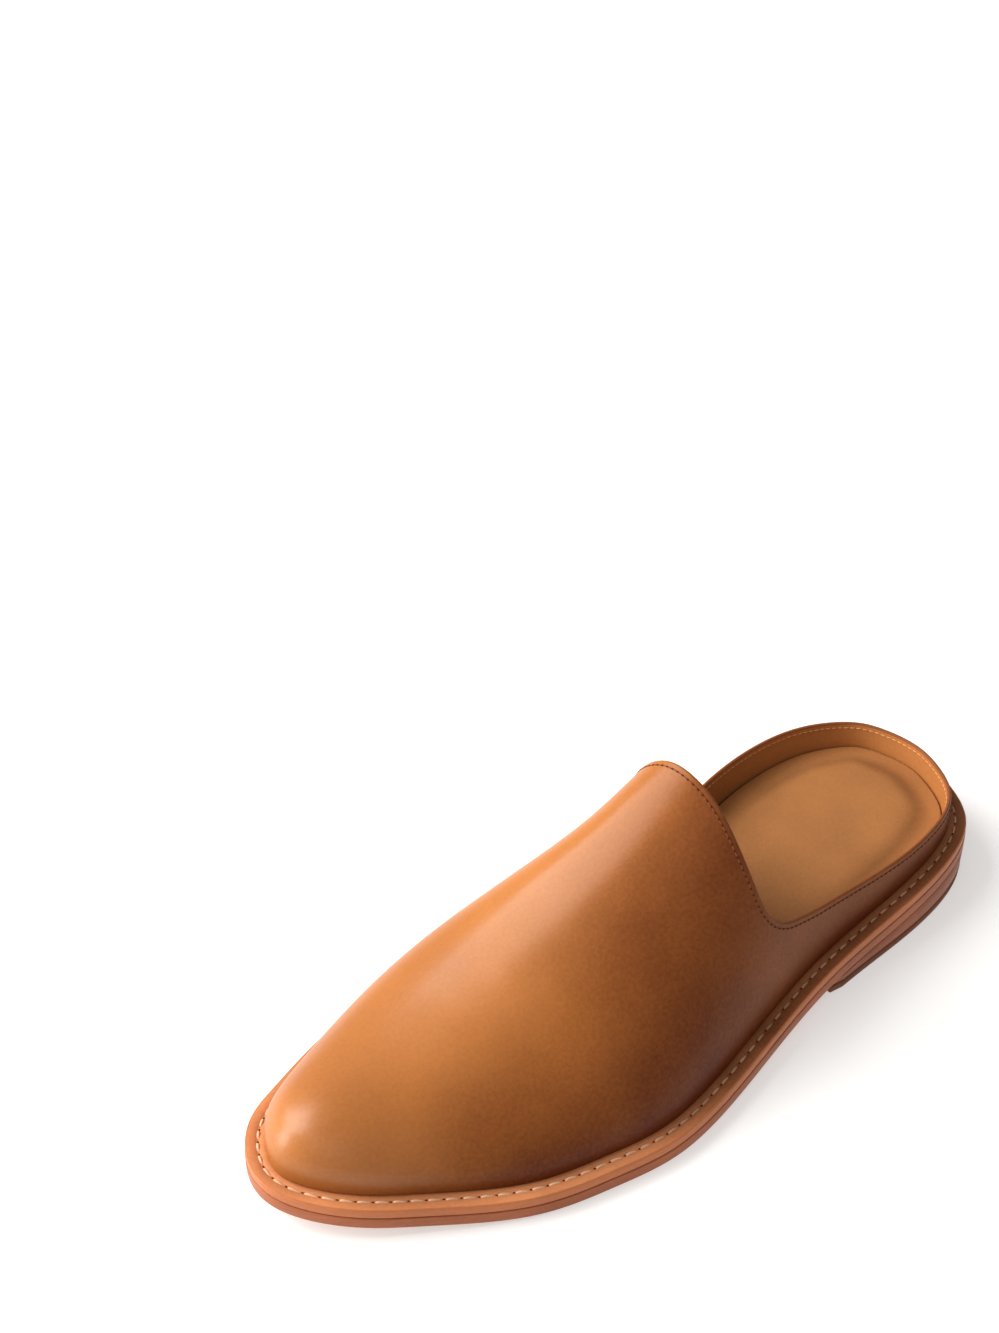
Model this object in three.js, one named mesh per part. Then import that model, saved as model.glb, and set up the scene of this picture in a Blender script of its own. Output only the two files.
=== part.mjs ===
import * as THREE from 'three';
import { mergeVertices } from 'three/addons/utils/BufferGeometryUtils.js';

// A leather mule for the left foot: a one-piece upper with a high vamp and a low wall round the open heel,
// on a welt, a leather outsole and a low stacked heel. While it is being worked out, x runs from the heel's
// back to the toe, y to the outer side of the foot, and z up from the floor.

// Driving sizes, millimetres
const LENGTH = 280; // outsole, heel to toe
const BALL_WIDTH = 105; // outsole across the ball
const HEEL_WIDTH = 84; // outsole across the heel
const HEEL_HEIGHT = 12; // floor to outsole at the heel's back
const TOE_SPRING = 7.4; // floor to outsole at the toe's tip
const HEEL_LENGTH = 93; // heel's back to its square front, the breast
const HEEL_TAPER = 0.4; // how far the heel draws in down to the floor
const TOP_LIFT_THICKNESS = 3;
const OUTSOLE_THICKNESS = 4;
const WELT_THICKNESS = 3.1;
const WELT_SHOW = 6; // welt's edge to the foot of the upper
const WALL_THICKNESS = 2.2; // upper with its lining
const WALL_HEIGHT = 17; // upper beside the heel, welt to topline
const CORNER_HEIGHT = { outer: 27, inner: 18.5 }; // welt to where the topline turns up into the vamp's edge
const INSTEP_HEIGHT = 78; // welt to the top of the vamp's edge
const THROAT = 123; // heel's back to the top of the vamp's edge
const SIDE_BULGE = 1.2; // how far the sides swell over the welt
const INSOLE_RISE = 2; // insole's edge above the welt
const CUSHION_RISE = 1.6; // heel cushion above the rest of the insole
const CUSHION_LENGTH = 100;
const CUSHION_MARGIN = 9; // insole's edge to the flat of the cushion
const GAP = 0.3; // between two pieces that meet
const INSOLE_GAP = 0.5; // insole's edge to the upper and the welt

// Where the foot's forms lie along the shoe, as shares of its length
const HEEL_SEAT_END = 0.02;
const FLAT = { from: 0.64, to: 0.72 }; // the ball's flat spot on the floor
const WIDTH_CHANGE = { from: 0.2, to: 0.65 };
const TOE_CAP = { from: 0.76, end: 0.915 }; // where the crest slows down, and where it ends
const HEEL_CAP = { from: 0.25, end: 0.12 };

// Roundness of the upper's sections: 2 is an ellipse, less is slacker, more is squarer
const ROUNDNESS = { outer: 1.7, inner: 2.25, toe: 2.3 };
// The parts of the way round, by how far the outline faces outward or ahead, over which it changes
const SIDES_CHANGE = { from: -0.6, to: 0.6 };
const TOE_CHANGE = { from: 0.2, to: 0.95 };
const CREST_EASE = 0.5; // turn from which a section eases into an ellipse, so that the crest is smooth

// Outline of welt and outsole, from the heel's back round the outer side to the toe and home by the inner
// side: shares of the length, and of half the width there
const OUTLINE = [
  { along: 0, aside: 0.01 },
  { along: 0.012, aside: 0.36 },
  { along: 0.045, aside: 0.71 },
  { along: 0.11, aside: 0.92 },
  { along: 0.21, aside: 1.0 },
  { along: 0.35, aside: 0.975 },
  { along: 0.5, aside: 1.02 },
  { along: 0.62, aside: 1.05 },
  { along: 0.71, aside: 0.965 },
  { along: 0.8, aside: 0.805 },
  { along: 0.89, aside: 0.5 },
  { along: 0.955, aside: 0.24 },
  { along: 1, aside: -0.17 },
  { along: 0.965, aside: -0.573 },
  { along: 0.9, aside: -0.757 },
  { along: 0.81, aside: -0.907 },
  { along: 0.71, aside: -0.954 },
  { along: 0.61, aside: -0.88 },
  { along: 0.5, aside: -0.74 },
  { along: 0.39, aside: -0.7 },
  { along: 0.28, aside: -0.9 },
  { along: 0.18, aside: -0.97 },
  { along: 0.1, aside: -0.875 },
  { along: 0.042, aside: -0.667 },
  { along: 0.012, aside: -0.405 },
];

// Crest of the upper, seen from the side and from above: height over the welt as a share of the instep's,
// and place across as a share of half the ball's width
const CREST = [
  { along: 0.1, height: 1.07, aside: 0 },
  { along: 0.34, height: 1.08, aside: 0 },
  { along: 0.42, height: 0.993, aside: -0.04 },
  { along: 0.5, height: 0.775, aside: -0.18 },
  { along: 0.6, height: 0.587, aside: -0.32 },
  { along: 0.7, height: 0.443, aside: -0.36 },
  { along: 0.8, height: 0.335, aside: -0.29 },
  { along: 0.915, height: 0.27, aside: -0.18 },
];

// The vamp's edge: how far it lies behind its top, as a share of the length, at shares of the turn from the
// welt up to the crest
const THROAT_LEAN = [
  { turn: 0, outer: 0.075, inner: 0.09 },
  { turn: 0.11, outer: 0.062, inner: 0.071 },
  { turn: 0.2, outer: 0.047, inner: 0.0468 },
  { turn: 0.27, outer: 0.033, inner: 0.037 },
  { turn: 0.31, outer: 0.019, inner: 0.0325 },
  { turn: 0.36, outer: 0.0096, inner: 0.028 },
  { turn: 0.48, outer: 0.0046, inner: 0.011 },
  { turn: 0.72, outer: 0.0025, inner: 0.0005 },
  { turn: 1, outer: 0, inner: 0 },
];

// Topline from the heel's back to the corner, as shares of that way and of the wall's height. The last row
// is the corner, whose height is its own size.
const TOPLINE = [
  { along: 0, outer: 0.56, inner: 0.56 },
  { along: 0.1, outer: 0.57, inner: 0.6 },
  { along: 0.25, outer: 0.63, inner: 0.67 },
  { along: 0.42, outer: 0.72, inner: 0.73 },
  { along: 0.6, outer: 0.9, inner: 0.79 },
  { along: 0.75, outer: 1.08, inner: 0.86 },
  { along: 0.88, outer: 1.27, inner: 0.93 },
];

// How finely the pieces are cut
const SOLE_STATIONS = 40;
const RING_STATIONS = 96;
const HEEL_STATIONS = 16;
const VAMP_COLUMNS = 30;
const WALL_COLUMNS = 20;
const WALL_ROWS = 4;
const VAMP_ROWS = 11;
const SEARCH_STEPS = 60;
const CREST_SNAP = 0.3; // crest points nearer than this to its end are that end
const LEAN_FADE = 60; // length over which the columns of the vamp lose the lean of its edge
const WALL_FADE = 50; // and those of the wall
const MIDDLE_TURN = 0.22; // the row of the corner, where outer and inner side meet at the toe
const CUSHION_SLOPE = 5;
const POINTS_PER_MM = 1e4; // points nearer than this are one
const END_REACH = 0.9; // rows on each side in which an end of the outline is looked for
const INSOLE_COLUMNS = [0, 0.06, 0.14, 0.22, 0.36, 0.5, 0.64, 0.78, 0.86, 0.94, 1];

const mix = THREE.MathUtils.lerp;
const quarter = Math.PI / 2;
const BULGE_PEAK = Math.sqrt(27 / 4); // brings the greatest rise * run * run to one

function smooth(from, to, value) {
  const t = THREE.MathUtils.clamp((value - from) / (to - from), 0, 1);
  return t * t * (3 - 2 * t);
}

// Cubic through two values with the slopes there, for t from 0 to 1
function hermite(a, b, slopeA, slopeB, t) {
  const rest = 1 - t;
  return a * (1 + 2 * t) * rest * rest + b * t * t * (3 - 2 * t) + (slopeA * rest - slopeB * t) * t * rest;
}

// A column of a table as a smooth function of another
function readTable(table, key, column, value) {
  const last = table.length - 1;
  let i = 0;
  while (i < last - 1 && value > table[i + 1][key]) i += 1;
  const slope = (k) => {
    const before = table[Math.max(k - 1, 0)];
    const after = table[Math.min(k + 1, last)];
    return (after[column] - before[column]) / (after[key] - before[key]);
  };
  const [low, high] = [table[i], table[i + 1]];
  const width = high[key] - low[key];
  const t = THREE.MathUtils.clamp((value - low[key]) / width, 0, 1);
  return hermite(low[column], high[column], slope(i) * width, slope(i + 1) * width, t);
}

// Heights of the sole, which follow the length alone

function outsoleBottom(x) {
  const along = x / LENGTH;
  const heel = smooth(FLAT.from, HEEL_SEAT_END, along);
  const toe = Math.max((along - FLAT.to) / (1 - FLAT.to), 0);
  return HEEL_HEIGHT * heel + TOE_SPRING * toe * toe;
}

const outsoleTop = (x) => outsoleBottom(x) + OUTSOLE_THICKNESS;
const weltBottom = (x) => outsoleTop(x) + GAP;
const weltTop = (x) => weltBottom(x) + WELT_THICKNESS;
const upperFoot = (x) => weltTop(x) + GAP;

// The outline as a closed curve with even curvature. Its slopes at the rows are found by relaxing them.

const outlinePoints = OUTLINE.map(({ along, aside }) => {
  const widening = smooth(WIDTH_CHANGE.from, WIDTH_CHANGE.to, along);
  return new THREE.Vector2(along * LENGTH, (aside * mix(HEEL_WIDTH, BALL_WIDTH, widening)) / 2);
});
const rowCount = outlinePoints.length;
const outlineRow = (i) => outlinePoints[((i % rowCount) + rowCount) % rowCount];
const outlineSlopes = outlinePoints.map(() => new THREE.Vector2());
const outlineSlope = (i) => outlineSlopes[((i % rowCount) + rowCount) % rowCount];
for (let sweep = 0; sweep < SEARCH_STEPS; sweep += 1) {
  for (let i = 0; i < rowCount; i += 1) {
    const across = outlineRow(i + 1).clone().sub(outlineRow(i - 1)).multiplyScalar(3);
    outlineSlopes[i].copy(across).sub(outlineSlope(i - 1)).sub(outlineSlope(i + 1)).divideScalar(4);
  }
}

// A point of the outline, drawn in by an inset, with the direction that faces outward there
function outlineAt(t, inset = 0) {
  const i = Math.floor(t);
  const [a, b, slopeA, slopeB] = [outlineRow(i), outlineRow(i + 1), outlineSlope(i), outlineSlope(i + 1)];
  const u = t - i;
  const along = (axis) => {
    const chord = b[axis] - a[axis];
    return 6 * u * (1 - u) * chord + slopeA[axis] * (1 - u) * (1 - 3 * u) + slopeB[axis] * u * (3 * u - 2);
  };
  const outward = new THREE.Vector2(-along('y'), along('x')).normalize();
  const x = hermite(a.x, b.x, slopeA.x, slopeB.x, u);
  const y = hermite(a.y, b.y, slopeA.y, slopeB.y, u);
  return { x: x - inset * outward.x, y: y - inset * outward.y, outward };
}

// Where the outline faces straight ahead or straight back, near a given row
function outlineEnd(row, facing) {
  let [low, high] = [row - END_REACH, row + END_REACH];
  for (let step = 0; step < SEARCH_STEPS; step += 1) {
    const third = (high - low) / 3;
    const ahead = facing * (outlineAt(high - third).x - outlineAt(low + third).x) > 0;
    if (ahead) low += third;
    else high -= third;
  }
  return (low + high) / 2;
}

const toeRow = OUTLINE.findIndex(({ along }) => along === 1);
const heelEnd = outlineEnd(0, -1);
const toeEnd = outlineEnd(toeRow, 1);
const heelBack = (inset) => outlineAt(heelEnd, inset).x;
const toeTip = (inset) => outlineAt(toeEnd, inset).x;

// The point of one side of the inset outline that lies x from the heel's back
function sideAt(side, x, inset) {
  let [back, front] = side === 'outer' ? [heelEnd, toeEnd] : [heelEnd + rowCount, toeEnd];
  for (let step = 0; step < SEARCH_STEPS; step += 1) {
    const middle = (back + front) / 2;
    if (outlineAt(middle, inset).x < x) back = middle;
    else front = middle;
  }
  return outlineAt((back + front) / 2, inset);
}

// The upper's surface, worked out from the foot of the upper and its crest

// Keeps a place along the foot up to a start, then slows it down so that it stops at an end
function slowed(x, start, limit, end) {
  const t = (x - start) / (limit - start);
  if (t <= 0) return x;
  const place = hermite(start, end, limit - start, 0, Math.min(t, 1));
  return Math.abs(end - place) < CREST_SNAP ? end : place;
}

function crestAlong(x) {
  const front = slowed(x, TOE_CAP.from * LENGTH, toeTip(WELT_SHOW), TOE_CAP.end * LENGTH);
  return slowed(front, HEEL_CAP.from * LENGTH, heelBack(WELT_SHOW), HEEL_CAP.end * LENGTH);
}

function crestAt(x) {
  const along = crestAlong(x);
  const height = INSTEP_HEIGHT * readTable(CREST, 'along', 'height', along / LENGTH);
  const aside = (BALL_WIDTH / 2) * readTable(CREST, 'along', 'aside', along / LENGTH);
  return new THREE.Vector3(along, aside, upperFoot(along) + height);
}

// Roundness changes over the toe and round the heel, with the way that the outline faces
function roundnessFacing(outward) {
  const sides = mix(ROUNDNESS.inner, ROUNDNESS.outer, smooth(SIDES_CHANGE.from, SIDES_CHANGE.to, outward.y));
  return mix(sides, ROUNDNESS.toe, smooth(TOE_CHANGE.from, TOE_CHANGE.to, outward.x));
}

// turn goes from 0 at the foot of the upper to 1 at its crest
function upperAt(side, x, turn) {
  const foot = sideAt(side, x, WELT_SHOW);
  const crest = crestAt(x);
  const power = mix(2 / roundnessFacing(foot.outward), 1, smooth(CREST_EASE, 1, turn));
  const [rise, run] = [Math.sin(turn * quarter), Math.cos(turn * quarter)];
  const inward = turn === 1 ? 1 : 1 - run ** power;
  const bulge = turn === 1 ? 0 : SIDE_BULGE * BULGE_PEAK * rise * run * run;
  return new THREE.Vector3(
    mix(foot.x, crest.x, inward) + foot.outward.x * bulge,
    mix(foot.y, crest.y, inward) + foot.outward.y * bulge,
    mix(upperFoot(foot.x), crest.z, rise ** power),
  );
}

// The turn at which the upper has a given height over the welt
function turnAtHeight(side, x, height) {
  const foot = sideAt(side, x, WELT_SHOW);
  const share = height / (crestAt(x).z - upperFoot(foot.x));
  return Math.asin(Math.min(share, 1) ** (roundnessFacing(foot.outward) / 2)) / quarter;
}

const leanAt = (side, turn) => LENGTH * readTable(THROAT_LEAN, 'turn', side, turn);

// Corner of the topline on each side: its place along the foot, and its turn
const corners = Object.fromEntries(
  ['outer', 'inner'].map((side) => {
    let turn = MIDDLE_TURN;
    for (let step = 0; step < SEARCH_STEPS; step += 1) {
      turn = turnAtHeight(side, THROAT - leanAt(side, turn), CORNER_HEIGHT[side]);
    }
    return [side, { x: THROAT - leanAt(side, turn), turn }];
  }),
);

// A vamp column stands at a place of the crest and leans back like the vamp's edge near it
function vampPoint(side, column, row) {
  const tip = toeTip(WELT_SHOW);
  const place = mix(THROAT, tip, Math.sin((quarter * column) / VAMP_COLUMNS));
  const split = mix(corners[side].turn, MIDDLE_TURN, smooth(THROAT, tip, place));
  const upward = (row - WALL_ROWS) / VAMP_ROWS;
  const turn = upward < 0 ? (split * row) / WALL_ROWS : mix(split, 1, upward);
  const lean = leanAt(side, turn) * (1 - smooth(THROAT, THROAT + LEAN_FADE, place));
  return upperAt(side, place - lean, turn);
}

// A wall column stands under a place of the topline, and the last one is the lower part of the vamp's edge
function wallPoint(side, column, row) {
  const corner = corners[side];
  const back = heelBack(WELT_SHOW);
  const share = (1 - Math.cos((Math.PI * column) / WALL_COLUMNS)) / 2;
  const place = mix(back, corner.x, share);
  const rows = [...TOPLINE, { along: 1, [side]: CORNER_HEIGHT[side] / WALL_HEIGHT }];
  const height = WALL_HEIGHT * readTable(rows, 'along', side, share);
  const top = column === WALL_COLUMNS ? corner.turn : turnAtHeight(side, place, height);
  const turn = (top * row) / WALL_ROWS;
  const lean = THROAT - leanAt(side, turn) - corner.x;
  return upperAt(side, place + lean * smooth(corner.x - WALL_FADE, corner.x, place), turn);
}

// Meshes from lists of points and of faces

class Faces {
  constructor() {
    this.points = [];
    this.triangles = [];
    this.known = new Map();
  }

  // The number of a point, which is new unless one lies there already
  point({ x, y, z }) {
    const key = [x, y, z].map((v) => Math.round(v * POINTS_PER_MM)).join();
    if (!this.known.has(key)) {
      this.known.set(key, this.points.length);
      this.points.push(new THREE.Vector3(x, y, z));
    }
    return this.known.get(key);
  }

  triangle(a, b, c) {
    if (a !== b && b !== c && c !== a) this.triangles.push([a, b, c]);
  }

  quad(a, b, c, d) {
    const [first, second] = [this.points[a].distanceTo(this.points[c]), this.points[b].distanceTo(this.points[d])];
    if (first <= second) {
      this.triangle(a, b, c);
      this.triangle(a, c, d);
    } else {
      this.triangle(a, b, d);
      this.triangle(b, c, d);
    }
  }

  // A grid of points given by rows and columns
  grid(columns, rows, pointAt, flip = false) {
    const at = (column, row) => this.point(pointAt(column, row));
    for (let column = 0; column < columns; column += 1) {
      for (let row = 0; row < rows; row += 1) {
        const loop = [at(column, row), at(column + 1, row), at(column + 1, row + 1), at(column, row + 1)];
        this.quad(...(flip ? loop.reverse() : loop));
      }
    }
  }

  normals() {
    const sums = this.points.map(() => new THREE.Vector3());
    for (const corner of this.triangles) {
      const [a, b, c] = corner.map((i) => this.points[i]);
      const face = b.clone().sub(a).cross(c.clone().sub(a));
      for (const i of corner) sums[i].add(face);
    }
    return sums.map((sum) => sum.normalize());
  }

  geometry() {
    const flat = this.triangles.flat().flatMap((i) => this.points[i].toArray());
    const geometry = new THREE.BufferGeometry();
    geometry.setAttribute('position', new THREE.Float32BufferAttribute(flat, 3));
    return mergeVertices(geometry);
  }
}

// A solid through closed sections with the same number of points, capped at both ends unless it runs round
function loft(sections, round = false) {
  const faces = new Faces();
  const width = sections[0].length;
  const steps = round ? sections.length : sections.length - 1;
  faces.grid(steps, width, (i, j) => sections[i % sections.length][j % width], !round);
  for (const [section, flip] of round ? [] : [[sections[0], true], [sections.at(-1), false]]) {
    const loop = section.map((point) => faces.point(point));
    for (let j = 1; j < width - 1; j += 1) {
      if (flip) faces.triangle(loop[0], loop[j + 1], loop[j]);
      else faces.triangle(loop[0], loop[j], loop[j + 1]);
    }
  }
  return faces.geometry();
}

// A sheet given its thickness inward, with a rim along each open edge
function thicken(sheet, inwardPoint) {
  const normals = sheet.normals();
  const solid = new Faces();
  const outside = sheet.points.map((point) => solid.point(point));
  const inside = sheet.points.map((point, i) => solid.point(inwardPoint(point, normals[i])));
  const edges = new Set();
  for (const [a, b, c] of sheet.triangles) {
    solid.triangle(outside[a], outside[b], outside[c]);
    solid.triangle(inside[c], inside[b], inside[a]);
    for (const edge of [[a, b], [b, c], [c, a]]) edges.add(edge.join());
  }
  for (const edge of edges) {
    const [a, b] = edge.split(',').map(Number);
    if (!edges.has([b, a].join())) solid.quad(outside[b], outside[a], inside[a], inside[b]);
  }
  return solid.geometry();
}

// Stations that lie closer towards both ends
const eased = (from, to, count) =>
  Array.from({ length: count + 1 }, (_, i) => mix(from, to, (1 - Math.cos((Math.PI * i) / count)) / 2));

// Pieces

function upper() {
  const sheet = new Faces();
  for (const side of ['outer', 'inner']) {
    const flip = side === 'outer';
    sheet.grid(WALL_COLUMNS, WALL_ROWS, (column, row) => wallPoint(side, column, row), flip);
    sheet.grid(VAMP_COLUMNS, WALL_ROWS + VAMP_ROWS, (column, row) => vampPoint(side, column, row), flip);
  }
  return thicken(sheet, (point, normal) => {
    const foot = point.z - upperFoot(point.x) < GAP;
    const inward = (foot ? normal.clone().setZ(0).normalize() : normal).clone().multiplyScalar(-WALL_THICKNESS);
    const inner = point.clone().add(inward);
    return foot ? inner.setZ(upperFoot(inner.x)) : inner;
  });
}

function welt() {
  const sections = Array.from({ length: RING_STATIONS }, (_, i) => {
    const t = heelEnd + (rowCount * i) / RING_STATIONS;
    const edge = outlineAt(t);
    const inside = outlineAt(t, WELT_SHOW + WALL_THICKNESS);
    const corner = (place, height) => new THREE.Vector3(place.x, place.y, height(place.x));
    return [corner(edge, weltTop), corner(edge, weltBottom), corner(inside, weltBottom), corner(inside, weltTop)];
  });
  return loft(sections, true);
}

// A section across the shoe between two sides, bottom first
function crossSection(x, inset, bottom, tops = []) {
  const [outer, inner] = [sideAt('outer', x, inset).y, sideAt('inner', x, inset).y];
  const below = [new THREE.Vector3(x, inner, bottom), new THREE.Vector3(x, outer, bottom)];
  const above = tops.map(({ share, z }) => new THREE.Vector3(x, mix(outer, inner, share), z));
  return [...below, ...above];
}

function outsole() {
  const stations = eased(heelBack(0), toeTip(0), SOLE_STATIONS);
  return loft(
    stations.map((x) => {
      const z = outsoleTop(x);
      return crossSection(x, 0, outsoleBottom(x), [{ share: 0, z }, { share: 1, z }]);
    }),
  );
}

// The heel draws in evenly from the outsole to the floor
const heelInset = (z) => HEEL_TAPER * (1 - z / HEEL_HEIGHT);

function heelPiece(bottom, top) {
  const low = heelInset(bottom);
  const high = heelInset(top ?? HEEL_HEIGHT);
  const floors = eased(heelBack(low), HEEL_LENGTH, HEEL_STATIONS);
  const roofs = eased(heelBack(high), HEEL_LENGTH, HEEL_STATIONS);
  const sections = floors.map((x, i) => {
    const z = top ?? outsoleBottom(roofs[i]) - GAP;
    return [...crossSection(x, low, bottom), ...crossSection(roofs[i], high, z).reverse()];
  });
  return loft(sections);
}

// The insole fills the welt's ring, and its heel carries a soft raised cushion
function insole() {
  const inset = WELT_SHOW + WALL_THICKNESS + INSOLE_GAP;
  const stations = eased(heelBack(inset), toeTip(inset), SOLE_STATIONS);
  return loft(
    stations.map((x) => {
      const [outer, inner] = [sideAt('outer', x, inset).y, sideAt('inner', x, inset).y];
      const width = outer - inner;
      const tops = INSOLE_COLUMNS.map((share) => {
        const aside = Math.min(share, 1 - share) * width;
        const ends = Math.min(x - heelBack(inset), heelBack(inset) + CUSHION_LENGTH - x);
        const edge = CUSHION_MARGIN - CUSHION_SLOPE;
        const raised = smooth(edge, CUSHION_MARGIN, aside) * smooth(edge, CUSHION_MARGIN, ends);
        return { share, z: weltTop(x) + INSOLE_RISE + CUSHION_RISE * raised };
      });
      return crossSection(x, inset, weltBottom(x), tops);
    }),
  );
}

const finishes = {
  upper: { color: 0xb0703c, roughness: 0.5 },
  welt: { color: 0xb5764a, roughness: 0.6 },
  outsole: { color: 0xa85f38, roughness: 0.55 },
  heel_stack: { color: 0x9a5232, roughness: 0.55 },
  top_lift: { color: 0x3a2016, roughness: 0.7 },
  insole: { color: 0xb27a48, roughness: 0.7 },
};

const shapes = {
  upper: upper(),
  welt: welt(),
  outsole: outsole(),
  heel_stack: heelPiece(TOP_LIFT_THICKNESS + GAP),
  top_lift: heelPiece(0, TOP_LIFT_THICKNESS),
  insole: insole(),
};

// The finished shoe stands on the floor, centred on the origin
const shoe = new THREE.Group();
for (const [name, geometry] of Object.entries(shapes)) {
  const mesh = new THREE.Mesh(geometry, new THREE.MeshStandardMaterial({ ...finishes[name], metalness: 0 }));
  mesh.name = name;
  shoe.add(mesh);
}
const middle = new THREE.Box3().setFromObject(shoe).getCenter(new THREE.Vector3());
shoe.position.set(-middle.x, -middle.y, 0);

export default shoe;
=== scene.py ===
# %% [markdown]
# # A leather mule, left foot
#
# This lesson builds one slip-on shoe as a visual model: its leather upper, welt, outsole, stacked heel, top
# lift and insole, then the stitches and the finishes. Every form comes from a few named sizes, so each step
# can be changed and seen again. Sizes are in millimetres until a mesh is made; x runs from the heel's back to
# the toe, y to the outer side of the foot and z up from the floor.

import math

import bmesh
import bpy
import numpy as np
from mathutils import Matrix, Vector
from mathutils.bvhtree import BVHTree
from mathutils.kdtree import KDTree


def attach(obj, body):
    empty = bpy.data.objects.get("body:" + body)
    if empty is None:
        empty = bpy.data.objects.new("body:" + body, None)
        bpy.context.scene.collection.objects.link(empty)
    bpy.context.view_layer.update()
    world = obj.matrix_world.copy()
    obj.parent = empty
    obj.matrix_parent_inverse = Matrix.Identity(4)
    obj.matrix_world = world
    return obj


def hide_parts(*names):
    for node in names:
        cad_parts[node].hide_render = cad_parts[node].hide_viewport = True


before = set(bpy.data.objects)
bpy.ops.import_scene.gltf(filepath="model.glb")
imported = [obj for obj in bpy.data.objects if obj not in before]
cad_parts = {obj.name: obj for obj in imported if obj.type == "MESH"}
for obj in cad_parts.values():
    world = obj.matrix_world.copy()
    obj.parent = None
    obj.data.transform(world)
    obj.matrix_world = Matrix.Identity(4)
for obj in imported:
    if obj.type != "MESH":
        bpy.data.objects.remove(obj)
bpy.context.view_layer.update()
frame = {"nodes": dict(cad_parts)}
print("frame:", ", ".join(frame["nodes"]))

# %% [markdown]
# ## Sizes
#
# A shoemaker starts from the last, the wooden foot on which the leather is pulled. Its length, its widths at
# ball and heel and its heights give almost everything else. A few proportions say where the ball, the toe and
# the heel cup begin.

# %% Sizes of the shoe
LENGTH = 280
BALL_WIDTH = 105
HEEL_WIDTH = 84
HEEL_HEIGHT = 12
TOE_SPRING = 7.4
HEEL_LENGTH = 93
HEEL_TAPER = 0.4
TOP_LIFT = 3
OUTSOLE = 4
WELT = 3.1
WELT_SHOW = 6
WALL = 2.2
WALL_HEIGHT = 17
CORNER_HEIGHT = {"outer": 27, "inner": 18.5}
INSTEP = 78
THROAT = 123
SIDE_BULGE = 1.2
INSOLE_RISE = 2
CUSHION_RISE = 1.6
CUSHION_LENGTH = 100
GAP = 0.3
INSOLE_GAP = 0.5
MM = 0.001

FLAT = (0.64, 0.72)
HEEL_SEAT_END = 0.02
WIDTH_CHANGE = (0.2, 0.65)
TOE_CAP = (0.76, 0.915)
HEEL_CAP = (0.25, 0.12)
ROUNDNESS = {"outer": 1.7, "inner": 2.25, "toe": 2.3}
CREST_EASE = 0.5  # turn from which a section eases into an ellipse
MIDDLE_TURN = 0.22  # the row where wall and vamp meet at the toe

print("sizes:", LENGTH, "mm long,", BALL_WIDTH, "wide at the ball,", HEEL_WIDTH, "at the heel")

# %% [markdown]
# ## Tables of the last
#
# Four short tables hold the curves: the outline of the sole, the crest of the upper, the lean of the vamp's
# edge and the topline round the heel. Rows are shares of the sizes above.

# %% Tables
OUTLINE = [
    (0, 0.01), (0.012, 0.36), (0.045, 0.71), (0.11, 0.92), (0.21, 1.0), (0.35, 0.975), (0.5, 1.02),
    (0.62, 1.05), (0.71, 0.965), (0.8, 0.805), (0.89, 0.5), (0.955, 0.24), (1, -0.17), (0.965, -0.573),
    (0.9, -0.757), (0.81, -0.907), (0.71, -0.954), (0.61, -0.88), (0.5, -0.74), (0.39, -0.7), (0.28, -0.9),
    (0.18, -0.97), (0.1, -0.875), (0.042, -0.667), (0.012, -0.405),
]
CREST = {
    "along": (0.1, 0.34, 0.42, 0.5, 0.6, 0.7, 0.8, 0.915),
    "height": (1.07, 1.08, 0.993, 0.775, 0.587, 0.443, 0.335, 0.27),
    "aside": (0, 0, -0.04, -0.18, -0.32, -0.36, -0.29, -0.18),
}
THROAT_LEAN = {
    "turn": (0, 0.11, 0.2, 0.27, 0.31, 0.36, 0.48, 0.72, 1),
    "outer": (0.075, 0.062, 0.047, 0.033, 0.019, 0.0096, 0.0046, 0.0025, 0),
    "inner": (0.09, 0.071, 0.0468, 0.037, 0.0325, 0.028, 0.011, 0.0005, 0),
}
TOPLINE = {
    "along": (0, 0.1, 0.25, 0.42, 0.6, 0.75, 0.88, 1),
    "outer": (0.56, 0.57, 0.63, 0.72, 0.9, 1.08, 1.27, CORNER_HEIGHT["outer"] / WALL_HEIGHT),
    "inner": (0.56, 0.6, 0.67, 0.73, 0.79, 0.86, 0.93, CORNER_HEIGHT["inner"] / WALL_HEIGHT),
}


def mix(a, b, share):
    return a + (b - a) * share


def smooth(start, end, value):
    t = np.clip((value - start) / (end - start), 0, 1)
    return t * t * (3 - 2 * t)


def hermite(a, b, slope_a, slope_b, t):
    return (a * (1 + 2 * t) * (1 - t) ** 2 + b * t * t * (3 - 2 * t)
            + (slope_a * (1 - t) - slope_b * t) * t * (1 - t))


def read(table, key, column, value):
    """A column of a table as a smooth function of another."""
    xs, ys = np.array(table[key], float), np.array(table[column], float)
    rows = np.arange(len(xs))
    before, after = np.maximum(rows - 1, 0), np.minimum(rows + 1, len(xs) - 1)
    slopes = (ys[after] - ys[before]) / (xs[after] - xs[before])
    i = np.clip(np.searchsorted(xs, value) - 1, 0, len(xs) - 2)
    width = xs[i + 1] - xs[i]
    t = np.clip((value - xs[i]) / width, 0, 1)
    return hermite(ys[i], ys[i + 1], slopes[i] * width, slopes[i + 1] * width, t)


print("tables:", len(OUTLINE), "rows of outline,", len(CREST["along"]), "of crest")

# %% [markdown]
# ## The sole's side view
#
# The outsole rises to the heel behind the ball and springs up at the toe, so that the shoe rolls as it walks.
# A curve modifier could bend flat pieces, but with one height for every x all layers follow it exactly.

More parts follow.
